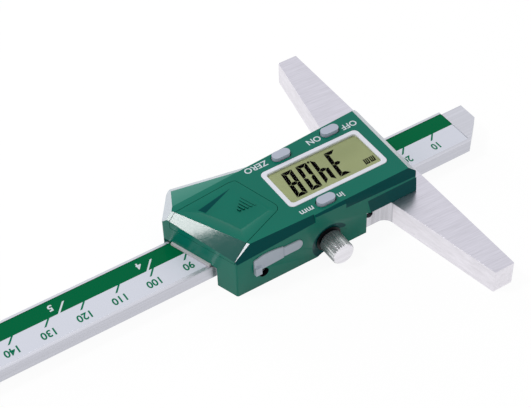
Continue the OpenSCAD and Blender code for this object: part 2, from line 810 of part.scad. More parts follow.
module controller_chip() {
    chip_l = 7;
    chip_t = 1.2;
    mid = [(lcd_x0 + lcd_x1) / 2, lcd_y0 + lcd_w / 2];
    color([0.06, 0.06, 0.06])
        block([mid.x - chip_l / 2, mid.y - chip_l / 2, board_z], [mid.x + chip_l / 2, mid.y + chip_l / 2, board_z + chip_t]);
}

module key_switches() {
    color([0.15, 0.15, 0.16]) for (at = [zero_at, power_at, unit_at])
        block([at.x - switch_w / 2, at.y - switch_w / 2 + (at.y < 0 ? over : 0), board_z],
            [at.x + switch_w / 2, at.y + switch_w / 2 + (at.y < 0 ? over : 0), board_z + switch_h]);
}

module lcd_holder() {
    i = holder_inset;
    w = holder_inset + holder_wall;
    color([0.12, 0.12, 0.13]) difference() {
        panel(lcd_x0 + i, lcd_y0 + i, lcd_l - 2 * i, lcd_w - 2 * i, lcd_corner_r, board_z, panel_z);
        block([lcd_x0 + w, lcd_y0 + w, board_z - over], [lcd_x1 - w, lcd_y0 + lcd_w - w, panel_z + over]);
        cell_space();
    }
}

// Room for the cell and its tray
module cell_space() {
    translate([cell_at.x, cell_at.y, board_z - over])
        cylinder(d = cell_d + 2 * tray_wall, h = cell_z + cell_t + fit_gap - board_z + over);
}

module zebra_strips() {
    w = holder_inset + holder_wall;
    color([0.85, 0.6, 0.7]) difference() {
        for (y = [lcd_y0 + w, lcd_y0 + lcd_w - w - zebra_w])
            block([lcd_x0 + w + zebra_w, y, board_z], [lcd_x1 - w - zebra_w, y + zebra_w, panel_z]);
        cell_space();
    }
}

// A plate that lies inside the display's frame
module glass(z0, z1) {
    i = lcd_border + fit_gap;
    panel(lcd_x0 + i, lcd_y0 + i, lcd_l - 2 * i, lcd_w - 2 * i, lcd_corner_r - i / 2, z0, z1);
}

module lcd_panel() {
    color([0.6, 0.63, 0.44]) glass(panel_z, panel_z + panel_t);
}

module lcd_window() {
    color([0.85, 0.9, 0.88, 0.4]) glass(panel_z + panel_t, panel_z + panel_t + window_t);
}

module lcd_frame() {
    i = lcd_border;
    color([0.9, 0.91, 0.95]) difference() {
        panel(lcd_x0, lcd_y0, lcd_l, lcd_w, lcd_corner_r, panel_z, cap_z + frame_proud);
        panel(lcd_x0 + i, lcd_y0 + i, lcd_l - 2 * i, lcd_w - 2 * i, lcd_corner_r - i / 2, panel_z - over, cap_z + over);
    }
}

module battery_tray() {
    color([0.1, 0.1, 0.11]) difference() {
        intersection() {
            translate([cell_at.x, cell_at.y, board_z]) cylinder(d = cell_d + 2 * tray_wall + 4 * fit_gap, h = cell_lift + cell_t / 2);
            prism(inset(cap_outline, wall_t + 2 * fit_gap), board_z, cap_z);
            block([-cap_l * 2, -cap_half_w, board_z], [lcd_x0 + holder_inset - fit_gap, cap_half_w, cap_z]);
        }
        translate([cell_at.x, cell_at.y, cell_z]) cylinder(d = cell_d + 2 * fit_gap, h = cell_t);
        block([cell_at.x - contact_w, -contact_w / 2 + cell_at.y - fit_gap, board_z - over],
            [cell_at.x + contact_w, contact_w / 2 + cell_at.y + fit_gap, cap_z]);
        for (side = [-1, 1]) for (x = cap_screw_x) translate([x, side * screw_row, board_z - over])
            cylinder(d = boss_d + 4 * fit_gap, h = cap_h);
        // Notches for the contact at the cell's edge and for the port's pads
        block([cell_at.x - contact_w / 2 - fit_gap, cell_at.y, board_z - over],
            [cell_at.x + contact_w / 2 + fit_gap, cell_at.y + cell_d, cap_z]);
        block([port_x0, cell_at.y - cell_d, board_z - over], [port_hinge_x, cell_at.y - cell_d / 2 + over, cap_z]);
    }
}

module coin_cell() {
    color([0.8, 0.8, 0.8]) translate([cell_at.x, cell_at.y, cell_z]) {
        cylinder(d = cell_d - over, h = cell_t);
        translate([0, 0, slot_depth]) cylinder(d = cell_d, h = cell_t - slot_depth);
    }
}

// Bent strip that touches the cell's edge
module contact_positive() {
    x = cell_at.x;
    y = cell_at.y + cell_d / 2 + fit_gap;
    color([0.85, 0.75, 0.4])
        block([x - contact_w / 2, y, board_z], [x + contact_w / 2, y + contact_t, cell_z + cell_t - contact_t]);
}

// Leaf under the cell, pressed up against its face
module contact_negative() {
    x0 = cell_at.x - contact_w + fit_gap;
    y0 = cell_at.y - contact_w / 2;
    color([0.85, 0.75, 0.4]) {
        block([x0, y0, board_z], [x0 + 2 * contact_w - 2 * fit_gap, y0 + contact_w, board_z + contact_t]);
        block([x0, y0, board_z], [x0 + contact_t, y0 + contact_w, cell_z]);
        block([x0, y0, cell_z - contact_t], [x0 + contact_w, y0 + contact_w, cell_z]);
    }
}

// A button: the cap that shows, a flange that keeps it in, and a stem to its switch
module button(at) {
    lift = switch_w / 2;
    color([0.62, 0.64, 0.68]) {
        capsule(at, button_l, button_w, button_z0 - flange_t, cap_z + button_proud);
        capsule(at, button_l + 2 * flange_w, button_w, button_z0 - flange_t, button_z0);
        capsule(at, lift * 2, stem_d, press_z, button_z0);
    }
}

module zero_button() {
    button(zero_at);
}

module power_button() {
    button(power_at);
}

module unit_button() {
    button(unit_at);
}

// The port cover, standing up along Z: its body narrows to a finger tab at the outer end
port_plan = concat(
    [[port_x0 + tab_w, tab_z0], [port_x0 + tab_w, port_z0 - port_foot_drop],
        [port_hinge_x - fit_gap, port_z0], [port_hinge_x - fit_gap, port_z1]],
    [for (s = port_shares) [port_x0 + s.x * (port_hinge_x - port_x0), port_z0 + s.y * (port_z1 - port_z0)]],
    [[port_x0, tab_z0]]);

module port_form(y0, y1, grow) {
    translate([0, y1, 0]) rotate([90, 0, 0]) linear_extrude(y1 - y0) offset(delta = grow) polygon(port_plan);
}

// Its seat in the front wall, with the strap's
module port_seat_form(grow) {
    wall_y = -cap_half_w;
    port_form(wall_y - over, wall_y + port_seat + grow, grow);
    strap_form(wall_y - over, wall_y + port_seat + grow, grow);
}

module strap_form(y0, y1, grow) {
    r = (port_z1 - port_z0) / 2 - strap_drop;
    z = (port_z0 + port_z1) / 2;
    block([port_hinge_x - grow, y0, z - r - grow], [port_x1 - r, y1, z + r + grow]);
    translate([port_x1 - r, y0, z]) rotate([-90, 0, 0]) cylinder(r = r + grow, h = y1 - y0);
}

module port_cover() {
    y = -cap_half_w;
    color([0.62, 0.64, 0.68]) {
        port_form(y - port_proud, y + port_seat, 0);
        // Nub for the fingernail
        block([port_x0, y - port_nub_out, tab_z0], [port_x0 + tab_w, y, tab_z0 + port_nub_h]);
    }
}

module port_strap() {
    color([0.62, 0.64, 0.68]) strap_form(-cap_half_w - port_proud, -cap_half_w + port_seat, 0);
}

// Gold pads on the edge of the circuit board, behind the port
module port_contacts() {
    span = port_hinge_x - port_x0 - 2 * socket_inset;
    pitch = span / (pad_count + 1);
    y = pad_back - stem_half_w;
    color([0.85, 0.7, 0.3]) for (k = [1 : pad_count])
        block([port_x0 + socket_inset + k * pitch - pad_w / 2, y, board_z],
            [port_x0 + socket_inset + k * pitch + pad_w / 2, y + pad_l, board_z + pad_h]);
}

// Strip that wipes the scale, let into the lower edge of the end wall
module wiper_form(grow) {
    start = [end_x(wiper_y0), wiper_y0];
    length = (wiper_y1 - wiper_y0) / cos(cap_skew);
    translate([start.x, start.y, rail_z + fit_gap - grow]) rotate([0, 0, cap_skew])
        translate([-grow - wiper_out, -grow, 0]) cube([wiper_out + wiper_t + 2 * grow, length + 2 * grow, wiper_h + grow]);
}

module end_wiper() {
    color([0.8, 0.81, 0.84]) wiper_form(0);
}

base_frame();
rear_plate();
plate_screws();
gib_strip();
gib_screws();
lock_screw();
lock_washer();
beam();
scale_grid();
scale_label();
end_stop();
end_stop_screws();
housing();
housing_screws();
circuit_board();
sensor_board();
controller_chip();
key_switches();
lcd_holder();
zebra_strips();
lcd_panel();
lcd_window();
lcd_frame();
battery_tray();
coin_cell();
contact_positive();
contact_negative();
battery_cover();
zero_button();
power_button();
unit_button();
port_cover();
port_strap();
port_contacts();
end_wiper();
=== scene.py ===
# %% [markdown]
# # A digital depth gauge
#
# A depth gauge measures how far down a hole or a slot goes. Its steel T-shaped base stands on
# the rim, and a steel beam with a printed scale slides through it. A green housing on the base
# holds the display. Here the gauge lies on its back.
#
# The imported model, with every part at its real size, is loaded first and stays as it is. Its
# parts are millimetre work already, so they aren't modelled again. This lesson is about
# finish: rounded edges that catch the light, ground steel, moulded plastic, print and a
# display that reads.

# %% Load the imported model
import json
import math

import bmesh
import bpy
from mathutils import Matrix, Vector


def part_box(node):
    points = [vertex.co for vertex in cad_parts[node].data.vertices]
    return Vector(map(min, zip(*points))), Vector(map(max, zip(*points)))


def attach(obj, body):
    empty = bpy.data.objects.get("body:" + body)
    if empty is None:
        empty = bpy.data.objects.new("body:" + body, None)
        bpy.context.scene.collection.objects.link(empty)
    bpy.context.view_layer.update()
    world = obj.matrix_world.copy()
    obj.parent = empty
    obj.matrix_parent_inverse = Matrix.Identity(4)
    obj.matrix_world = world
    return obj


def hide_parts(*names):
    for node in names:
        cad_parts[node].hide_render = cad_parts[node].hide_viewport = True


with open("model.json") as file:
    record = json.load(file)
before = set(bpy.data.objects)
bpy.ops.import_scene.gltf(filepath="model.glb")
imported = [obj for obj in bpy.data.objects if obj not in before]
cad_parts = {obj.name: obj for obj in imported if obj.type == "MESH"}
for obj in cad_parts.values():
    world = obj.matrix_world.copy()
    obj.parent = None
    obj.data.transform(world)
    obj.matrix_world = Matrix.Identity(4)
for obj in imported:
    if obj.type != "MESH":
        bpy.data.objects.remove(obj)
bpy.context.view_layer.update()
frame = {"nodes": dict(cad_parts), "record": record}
packed_materials = len(bpy.data.materials)
MM = 0.001
print("nodes:", len(frame["nodes"]), "and materials:", packed_materials)

# %% [markdown]
# Marks and words have to lie on the faces that carry them. Heights could be typed in, but a
# mark would hang in the air as soon as a part got thinner, so they come from the packed
# parts' own boxes. Every size on the gauge is in millimetres and is turned into metres where
# a mesh is made.

# %% Boxes in millimetres
def box_mm(node):
    low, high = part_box(node)
    return Vector(low) / MM, Vector(high) / MM


housing_bottom = box_mm("housing")[0].z
cap_top = box_mm("battery_cover")[1].z
panel_top = box_mm("lcd_panel")[1].z
label_low, label_high = box_mm("scale_label")
knob_low, knob_high = box_mm("lock_screw")
print("top of the housing at", round(cap_top, 2), "mm")

# %% [markdown]
# The photograph was taken from above the tail and to the front, with the camera rolled a
# little. A camera can be placed by eye, but then no edge lies quite where it should. The
# place, the angles and the lens below were worked out from straight edges and scale marks in
# the photograph.

# %% Camera
CAMERA_AT = (-180.0, -222.5, 272.8)
ELEVATION = 45.433
AZIMUTH = -31.624
ROLL = -1.863
FOCAL_PIXELS = 1420
PHOTO_WIDTH = 531
SENSOR = 36
NEAREST = 10

camera_data = bpy.data.cameras.new("camera")
camera_data.sensor_width = SENSOR
camera_data.lens = SENSOR * FOCAL_PIXELS / PHOTO_WIDTH
camera_data.clip_start = NEAREST * MM
camera = bpy.data.objects.new("camera", camera_data)
turn = Matrix.Rotation(math.radians(AZIMUTH), 4, "Z")
tilt = Matrix.Rotation(math.radians(90 - ELEVATION), 4, "X")
roll = Matrix.Rotation(math.radians(ROLL), 4, "Z")
camera.matrix_world = Matrix.Translation(Vector(CAMERA_AT) * MM) @ turn @ tilt @ roll
bpy.context.scene.collection.objects.link(camera)
bpy.context.scene.camera = camera
print("lens:", round(camera_data.lens, 2), "mm")

# %% [markdown]
# In Blender a material is a small graph of nodes. Building each graph by hand would repeat
# the same steps many times, so one class holds them. It starts a material with its main
# shader, adds nodes, joins them, and lets a pattern drive the colour, the roughness or a bump.

# %% Material helpers
class Finish:
    def __init__(self, name, colour, metal=0.0, rough=0.4, specular=0.5):
        self.material = bpy.data.materials.new(name)
        self.material.use_nodes = True
        self.tree = self.material.node_tree
        self.shader = self.tree.nodes["Principled BSDF"]
        self.material.diffuse_color = (*colour, 1)
        sockets = self.shader.inputs
        sockets["Base Color"].default_value = (*colour, 1)
        sockets["Metallic"].default_value = metal
        sockets["Roughness"].default_value = rough
        sockets["Specular IOR Level"].default_value = specular

    def node(self, kind, **values):
        """A new node. A value goes to the setting of that name, or else to the socket."""
        made = self.tree.nodes.new("ShaderNode" + kind)
        for name, value in values.items():
            if hasattr(made, name):
                setattr(made, name, value)
            else:
                made.inputs[name.replace("_", " ")].default_value = value
        return made

    def link(self, source, target):
        self.tree.links.new(source, target)

    def place(self, scale=(1, 1, 1), turn=0.0):
        """The place on the piece, turned about Z by some degrees and then scaled."""
        coordinate = self.node("TexCoord")
        turned = self.node("Mapping")
        turned.inputs["Rotation"].default_value = (0, 0, math.radians(turn))
        scaled = self.node("Mapping")
        scaled.inputs["Scale"].default_value = scale
        self.link(coordinate.outputs["Object"], turned.inputs["Vector"])
        self.link(turned.outputs["Vector"], scaled.inputs["Vector"])
        return scaled.outputs["Vector"]

    def noise(self, where, scale, detail=2, rough=0.5):
        made = self.node("TexNoise", Scale=scale, Detail=detail, Roughness=rough)
        self.link(where, made.inputs["Vector"])
        return made.outputs["Fac"]

    def spread(self, source, low, high):
        """A pattern of 0 to 1, spread between two other values."""
        made = self.node("MapRange")
        made.inputs["To Min"].default_value = low
        made.inputs["To Max"].default_value = high
        self.link(source, made.inputs["Value"])
        return made.outputs["Result"]

    def tint(self, source, dark, light, start=0.0, end=1.0):
        ramp = self.node("ValToRGB")
        for stop, position, colour in zip(ramp.color_ramp.elements, (start, end), (dark, light)):
            stop.position = position
            stop.color = (*colour, 1)
        self.link(source, ramp.inputs["Fac"])
        self.link(ramp.outputs["Color"], self.shader.inputs["Base Color"])

    def rough_from(self, source, low, high):
        self.link(self.spread(source, low, high), self.shader.inputs["Roughness"])

    def bump(self, source, depth, strength):
        made = self.node("Bump", Strength=strength, Distance=depth * MM)
        self.link(source, made.inputs["Height"])
        self.link(made.outputs["Normal"], self.shader.inputs["Normal"])


def linear(red, green, blue):
    """A colour read off a picture in 0 to 255, as the linear values that the shader takes."""
    shares = [value / 255 for value in (red, green, blue)]
    return tuple(s / 12.92 if s <= 0.04045 else ((s + 0.055) / 1.055) ** 2.4 for s in shares)


print("middle grey is", [round(value, 3) for value in linear(128, 128, 128)])

# %% [markdown]
# The base and the beam are ground steel, with fine scratches that all run one way. A picture
# of scratches could be wrapped round each part, but it would show seams at the corners. A
# noise that is stretched along the grain has none. It drives the tone, the roughness and a
# faint bump together, so that the three agree.

# %% Steel finishes
SCRATCH_START, SCRATCH_END = 0.3, 0.65
SCRATCH_SHARE, CLOUD_SHARE = 0.7, 0.3
CLOUDS = (60, 60, 60)


def ground_steel(name, tone, turn=0.0, rough=(0.28, 0.46), grain=(9, 1100, 400),
                 depth=0.004, shade=0.86):
    finish = Finish(name, tone, metal=1.0, rough=rough[0])
    scratches = finish.noise(finish.place(grain, turn), 1.0, detail=4, rough=0.7)
    clouds = finish.noise(finish.place(CLOUDS), 1.0)
    finish.tint(scratches, tuple(c * shade for c in tone), tone, SCRATCH_START, SCRATCH_END)
    mixed = finish.node("Math", operation="MULTIPLY_ADD")
    mixed.inputs[1].default_value = SCRATCH_SHARE
    finish.link(scratches, mixed.inputs[0])
    finish.link(finish.spread(clouds, 0.0, CLOUD_SHARE), mixed.inputs[2])
    finish.rough_from(mixed.outputs[0], *rough)
    finish.bump(scratches, depth, 0.5)
    return finish.material


wing_steel = ground_steel("ground base steel", linear(213, 211, 222), turn=3,
                          rough=(0.22, 0.38), grain=(130, 3000, 900), shade=0.84)
side_steel = ground_steel("ground edge steel", linear(238, 235, 242), grain=(1100, 9, 900))
neck_steel = ground_steel("milled neck steel", linear(212, 211, 218), rough=(0.12, 0.3),
                          grain=(700, 700, 20), depth=0.01, shade=0.6)
rail_steel = ground_steel("satin beam steel", linear(206, 207, 216), grain=(9, 1100, 900))
sheet_steel = ground_steel("satin sheet steel", linear(190, 191, 198))
screw_steel = ground_steel("plain screw steel", linear(150, 150, 156), grain=(500, 500, 500))
# blackened screws, and also painted shadow on the end of the base's stem
blackened_steel_and_painted_shade = ground_steel("blackened steel and painted shade", linear(44, 44, 50), grain=(500, 500, 500))
knob_steel = ground_steel("plated knob steel", linear(236, 234, 240), rough=(0.16, 0.24),
                          grain=(40, 40, 1500))
# painted shade: the darker colour of the knob's flutes; their dullness is real
flute_painted_shade = ground_steel("flute steel with painted shade", linear(188, 188, 190), rough=(0.4, 0.5),
                           grain=(300, 300, 300))
contact_gold = ground_steel("gold contact", linear(212, 178, 96), rough=(0.2, 0.3),
                            grain=(400, 400, 400))
print("metal finishes made:", len(bpy.data.materials) - packed_materials)

# %% [markdown]
# The housing is moulded plastic: even in colour, and smooth but not polished. One flat colour
# would do for a drawing, but its reflections would be too clean. A very fine noise breaks
# them up, and a slow one keeps the green from looking painted on.

# %% Plastic finishes
MOTTLE = 35
MOTTLE_START, MOTTLE_END = 0.3, 0.7
MOTTLE_SHIFT = 0.05


def moulded(name, colour, rough=(0.22, 0.32), specular=0.5, grain=900, depth=0.003):
    finish = Finish(name, colour, rough=rough[0], specular=specular)
    fine = finish.noise(finish.place(), grain)
    slow = finish.noise(finish.place(), MOTTLE)
    dark = tuple(c * (1 - MOTTLE_SHIFT) for c in colour)
    light = tuple(c * (1 + MOTTLE_SHIFT) for c in colour)
    finish.tint(slow, dark, light, MOTTLE_START, MOTTLE_END)
    finish.rough_from(fine, *rough)
    finish.bump(fine, depth, 0.6)
    return finish.material


shell_green = linear(8, 116, 98)
green_plastic = moulded("moulded green", shell_green, rough=(0.18, 0.26), specular=0.15)
# the gloss is real; the darker green of the end bevel is painted shade
gloss_green_painted_shade = moulded("gloss green with painted shade", linear(0, 88, 80), rough=(0.04, 0.06), specular=0.34,
                       depth=0.001)
# painted shade: a darker copy of the housing's green for faces turned away from the light
painted_shade_green = moulded("green with painted shade", linear(0, 76, 76), rough=(0.2, 0.3), specular=0.06)
green_shade = moulded("shaded green", linear(0, 48, 46), rough=(0.4, 0.5), specular=0.05)
# painted sheen: a lighter copy of the green for the thumb rest
thumb_painted_sheen = moulded("thumb green with painted sheen", linear(56, 136, 120), rough=(0.3, 0.4), specular=0.2)
# painted highlight: a pale, very glossy green for the bevel's front corner
corner_painted_highlight = moulded("corner with painted highlight", linear(188, 198, 206), rough=(0.2, 0.3), specular=1.0)
grey_plastic = moulded("satin grey", linear(190, 197, 214), rough=(0.3, 0.4), specular=0.3)
grey_elastomer = moulded("soft grey", linear(186, 195, 207), rough=(0.5, 0.62), specular=0.3,
                         grain=700)
white_plastic = moulded("smooth white", linear(240, 242, 252), rough=(0.25, 0.32), specular=0.3)
# black for the dark parts, and also painted shade inside the front wall's hole and on the knob's
# washer
plain_black_and_painted_shade = moulded("plain black", linear(14, 14, 18), rough=(0.4, 0.5), specular=0.2)
board_green = moulded("coated board", linear(22, 84, 44), rough=(0.25, 0.35))
wiper_felt = moulded("pale felt", linear(206, 204, 208), rough=(0.8, 0.9), specular=0.1,
                     grain=2500, depth=0.02)
pink_rubber = moulded("layered rubber", linear(198, 140, 160), rough=(0.5, 0.6))
print("metal and plastic finishes made:", len(bpy.data.materials) - packed_materials)

# %% [markdown]
# The narrow rims of the housing are the same green plastic, but from the camera's side they
# catch so much light that they look almost white. That light is painted into their colour as
# a pale sheen. Painted pale all over, they would look white from every other side too. The
# Layer Weight node tells how far a face is turned from the eye, so the painted sheen is pale
# only where the face is seen askew.

# %% Rim finish
SHEEN_START, SHEEN_END = 0.4, 0.6


# painted sheen: the pale colour stands for light caught on the rims
def sheen_green():
    finish = Finish("rim green with painted sheen", shell_green, rough=0.25, specular=0.6)
    askew = finish.node("LayerWeight", Blend=0.5).outputs["Facing"]
    finish.tint(askew, shell_green, linear(198, 206, 214), SHEEN_START, SHEEN_END)
    return finish.material


rim_painted_sheen = sheen_green()
print("made", rim_painted_sheen.name)

# %% [markdown]
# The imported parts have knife-sharp edges, and nothing real has. A round edge draws a bright
# line along it. The roundness could be faked in a material, but then the outline would stay
# sharp. So each large part that shows is copied, its flat faces are joined up again, and a
# Bevel modifier rounds every sharp edge. The copy stands for the part and rides on the same
# body.

# %% Rounded copies of the parts
FLAT = math.radians(1.0)
SHARP = math.radians(28)
WELD = 0.002
BEVEL_STEPS = 3


def body_named(node):
    for body, members in frame["record"]["behaviour"]["bodies"].items():
        if node in members:
            return body
    raise ValueError(node)


def rounded_copy(node, material, radius):
    mesh = frame["nodes"][node].data.copy()
    piece = bpy.data.objects.new(node + "_finish", mesh)
    bpy.context.scene.collection.objects.link(piece)
    shell = bmesh.new()
    shell.from_mesh(mesh)
    bmesh.ops.remove_doubles(shell, verts=shell.verts, dist=WELD * MM)
    bmesh.ops.dissolve_limit(shell, angle_limit=FLAT, verts=shell.verts, edges=shell.edges)
    shell.to_mesh(mesh)
    shell.free()
    mesh.materials.clear()
    mesh.materials.append(material)
    mesh.shade_smooth()
    mesh.set_sharp_from_angle(angle=SHARP)
    cut = piece.modifiers.new("edges", "BEVEL")
    cut.width = radius * MM
    cut.segments = BEVEL_STEPS
    cut.limit_method = "ANGLE"
    cut.angle_limit = SHARP
    cut.use_clamp_overlap = True
    cut.harden_normals = True
    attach(piece, body_named(node))
    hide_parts(node)
    return piece


finishes = {
    "base_frame": (wing_steel, 0.12),
    "beam": (rail_steel, 0.12),
    "rear_plate": (sheet_steel, 0.12),
    "end_stop": (sheet_steel, 0.2),
    "housing": (green_plastic, 0.25),
    "battery_cover": (green_plastic, 0.15),
    "lcd_frame": (white_plastic, 0.15),
    "zero_button": (grey_plastic, 0.75),
    "power_button": (grey_plastic, 0.75),
    "unit_button": (grey_plastic, 0.75),
    "port_cover": (grey_elastomer, 0.12),
    "port_strap": (grey_elastomer, 0.12),
    "lock_screw": (knob_steel, 0.03),
}
dressed = {}
for node, (material, radius) in finishes.items():
    dressed[node] = rounded_copy(node, material, radius)
    print(node, "rounded by", radius, "mm,", len(dressed[node].data.polygons), "faces")

# %% [markdown]
# One finish isn't enough for four of the parts. Each could be cut up, with a material for
# each piece, but that would leave seams. A mesh can hold several materials instead and keep a
# number for each face. So a rule looks at a face and says whether it takes another finish.
# The rules read the face's size, its place and its normal. The normal is the direction in
# which a face looks, with a length of one, so a z near one means almost straight up.

# %% Picking faces by a rule
WALL, LEVEL = 0.06, 0.985
FACET = 1.5


def second_finish(node, material, chosen):
    mesh = dressed[node].data
    mesh.materials.append(material)
    slot = len(mesh.materials) - 1
    picked = [face for face in mesh.polygons if chosen(face)]
    for face in picked:
        face.material_index = slot
    print(node, "has", len(picked), "faces in", material.name)


def slopes(face, low=WALL, high=LEVEL):
    """A facet of some size that is neither a wall nor level."""
    return low < face.normal.z < high and face.area > FACET * MM * MM


print("a facet is larger than", FACET, "square mm")

# %% [markdown]
# On the housing and its cover the top and the walls are satin. The facets towards the front
# get a darker green as painted shade. The end bevel mirrors a lamp, so it is polished, and its
# darker green is painted shade too. The thin rims get a painted pale sheen, the bevel's front
# corner a painted highlight and the thumb rest a lighter green as painted sheen, and the sides
# of the cover's ridges a darker green as painted shade.

# %% Facets of the housing and its cover
GRIP_MIDDLE = Vector((-50.2, -0.8, cap_top))
GRIP_R = 3.5
RIM_STEEP, RIM_SHALLOW = 0.3, 0.95


def faces_front(face):
    return slopes(face) and face.normal.y < -0.25


def faces_tail(face):
    return slopes(face) and face.normal.x < -0.3 and abs(face.normal.y) < 0.4


def tail_corner(face):
    return faces_tail(face) and face.center.y < 0


def pale_rim(face):
    return slopes(face, RIM_STEEP, RIM_SHALLOW) and (face.normal.x > 0.5 or face.normal.y > 0.35)


def thumb_top(face):
    return slopes(face, RIM_SHALLOW) and face.normal.y > 0.15


def ridge_wall(face):
    inside = (face.center / MM - GRIP_MIDDLE).length < GRIP_R
    return inside and abs(face.normal.z) < 0.3 and face.normal.y < 0.5


# painted shade on the front facets, and on the end bevel along with its gloss
for node in ("housing", "battery_cover"):
    second_finish(node, painted_shade_green, faces_front)
    second_finish(node, gloss_green_painted_shade, faces_tail)
# painted sheen on the rims
second_finish("housing", rim_painted_sheen, pale_rim)
# painted highlight on the bevel's front corner
second_finish("housing", corner_painted_highlight, tail_corner)
# painted sheen on the thumb rest
second_finish("housing", thumb_painted_sheen, thumb_top)
second_finish("battery_cover", green_shade, ridge_wall)

# %% [markdown]
# Two round openings are in the front wall: the dish that the knob sits in, and a small hole
# with a set screw behind it. Part of the dish's side gets the darker green as painted shade,
# and the walls of the hole are painted black all the way in as painted shade. A list of face
# numbers would break as soon as the model changed. Both openings have an axis, so a face
# belongs to one when it lies close enough to that axis.

# %% Dish and hole in the front wall
DISH_R = 5.8
HOLE_R = 1.6
HOLE_MIDDLE = Vector((-53.2, 0, 0.8))
knob_middle = (knob_low + knob_high) / 2


def from_axis(face, middle):
    """How far a face lies from an axis along Y, in millimetres."""
    return math.hypot(face.center.x / MM - middle.x, face.center.z / MM - middle.z)


def dish_side(face):
    sloping = -0.98 < face.normal.y < -0.3
    shaded = face.normal.x > 0.05 or face.normal.z < -0.2
    return sloping and shaded and from_axis(face, knob_middle) < DISH_R


def in_the_hole(face):
    in_front = abs(face.normal.y) < 0.1 and face.center.y < 0
    return in_front and from_axis(face, HOLE_MIDDLE) < HOLE_R


# painted shade on part of the dish's side
second_finish("housing", painted_shade_green, dish_side)
# painted shade inside the hole
second_finish("housing", plain_black_and_painted_shade, in_the_hole)

# %% [markdown]
# The base is ground crosswise on top and lengthwise on the wings' sides, and its neck is
# milled upright. The end of its stem lies in the shadow of the housing's end wall, and that
# shadow is painted on it as blackened steel. On the knob, the flutes are duller than the
# plated lands between them, and their darker colour is painted shade. One stretched noise
# can't run three ways, so each direction has a finish of its own.

# %% Sides of the base and flutes of the knob
NECK_X = -12.4
STEM_X = -40
FLUTE_LOW, FLUTE_HIGH = 0.55, 0.965


def wing_side(face):
    return abs(face.normal.z) < 0.5 and face.center.x / MM > NECK_X


def neck_side(face):
    return abs(face.normal.z) < 0.5 and face.center.x / MM <= NECK_X


def stem_end(face):
    return face.normal.x < -0.7 and face.center.x / MM < STEM_X


def in_a_flute(face):
    share = from_axis(face, knob_middle) * 2 / (knob_high.x - knob_low.x)
    return abs(face.normal.y) < 0.1 and FLUTE_LOW < share < FLUTE_HIGH


second_finish("base_frame", side_steel, wing_side)
second_finish("base_frame", neck_steel, neck_side)
# painted shadow on the end of the stem
second_finish("base_frame", blackened_steel_and_painted_shade, stem_end)
# painted shade in the flutes
second_finish("lock_screw", flute_painted_shade, in_a_flute)

# %% [markdown]
# Screws, boards, contacts and the cell hardly show. Rounded copies of them would cost time
# and add nothing to see, so they keep their own meshes and only take a finish.

# %% Finishes for the parts inside
plain = {
    "plate_screws": screw_steel, "gib_screws": blackened_steel_and_painted_shade, "gib_strip": contact_gold,
    "end_stop_screws": screw_steel, "housing_screws": screw_steel, "scale_grid": contact_gold,
    "circuit_board": board_green, "sensor_board": board_green, "controller_chip": plain_black_and_painted_shade,
    # painted shade: the washer is black to stand for the deep shade round the knob's root
    "key_switches": plain_black_and_painted_shade, "lock_washer": plain_black_and_painted_shade, "lcd_holder": plain_black_and_painted_shade,
    "zebra_strips": pink_rubber, "battery_tray": plain_black_and_painted_shade, "coin_cell": sheet_steel,
    "contact_positive": contact_gold, "contact_negative": contact_gold,
    "port_contacts": contact_gold, "end_wiper": wiper_felt,
}


def give_finish(node, material):
    slots = frame["nodes"][node].data.materials
    slots.clear()
    slots.append(material)


for node, material in plain.items():
    give_finish(node, material)
print(len(plain), "inner parts finished")

# %% [markdown]
# The display is an olive mirror behind liquid crystal, a little brighter in some places than
# in others, under a clear window. Thick glass would bend the light and take long to render.
# The window is thin, so here light passes straight through it, and the Fresnel node adds the
# faint reflection.

# %% Display panel and window
PATCHES = (60, 90, 60)
PATCH_START, PATCH_END = 0.25, 0.75
WINDOW_ROUGH = 0.05
WINDOW_IOR = 1.12

panel_finish = Finish("olive panel", linear(160, 169, 120), rough=0.35, specular=0.2)
patches = panel_finish.noise(panel_finish.place(PATCHES), 1.0, detail=1)
panel_finish.tint(patches, linear(166, 175, 128), linear(190, 199, 148), PATCH_START, PATCH_END)
give_finish("lcd_panel", panel_finish.material)


def clear_window():
    material = bpy.data.materials.new("clear window")
    material.use_nodes = True
    tree = material.node_tree
    tree.nodes.clear()
    output = tree.nodes.new("ShaderNodeOutputMaterial")
    mix = tree.nodes.new("ShaderNodeMixShader")
    through = tree.nodes.new("ShaderNodeBsdfTransparent")
    gloss = tree.nodes.new("ShaderNodeBsdfGlossy")
    gloss.inputs["Roughness"].default_value = WINDOW_ROUGH
    fresnel = tree.nodes.new("ShaderNodeFresnel")
    fresnel.inputs["IOR"].default_value = WINDOW_IOR
    tree.links.new(fresnel.outputs["Fac"], mix.inputs["Fac"])
    tree.links.new(through.outputs["BSDF"], mix.inputs[1])
    tree.links.new(gloss.outputs["BSDF"], mix.inputs[2])
    tree.links.new(mix.outputs["Shader"], output.inputs["Surface"])
    return material


give_finish("lcd_window", clear_window())
print("display finished")

# %% [markdown]
# The scale is a printed film: green towards the back edge and pale towards the front. It
# could be two strips, but the film is one sheet. The two fields meet on a straight line, and
# a node draws that line from the place across the beam.

# %% Scale film
BORDER_Y = 1.14
FILM_GRAIN = 1200
FILM_BUMP = 0.002
film_green = linear(0, 108, 66)
film_white = linear(230, 233, 245)
film = Finish("scale film", film_white, rough=0.15, specular=0.03)
across = film.node("SeparateXYZ")
film.link(film.place(), across.inputs["Vector"])
field = film.node("Math", operation="GREATER_THAN")
field.inputs[1].default_value = BORDER_Y * MM
film.link(across.outputs["Y"], field.inputs[0])
film.tint(field.outputs[0], film_white, film_green)
grain = film.noise(film.place(), FILM_GRAIN)
film.rough_from(grain, 0.12, 0.2)
film.bump(grain, FILM_BUMP, 0.4)
give_finish("scale_label", film.material)
print("the film turns green at", BORDER_Y, "mm")

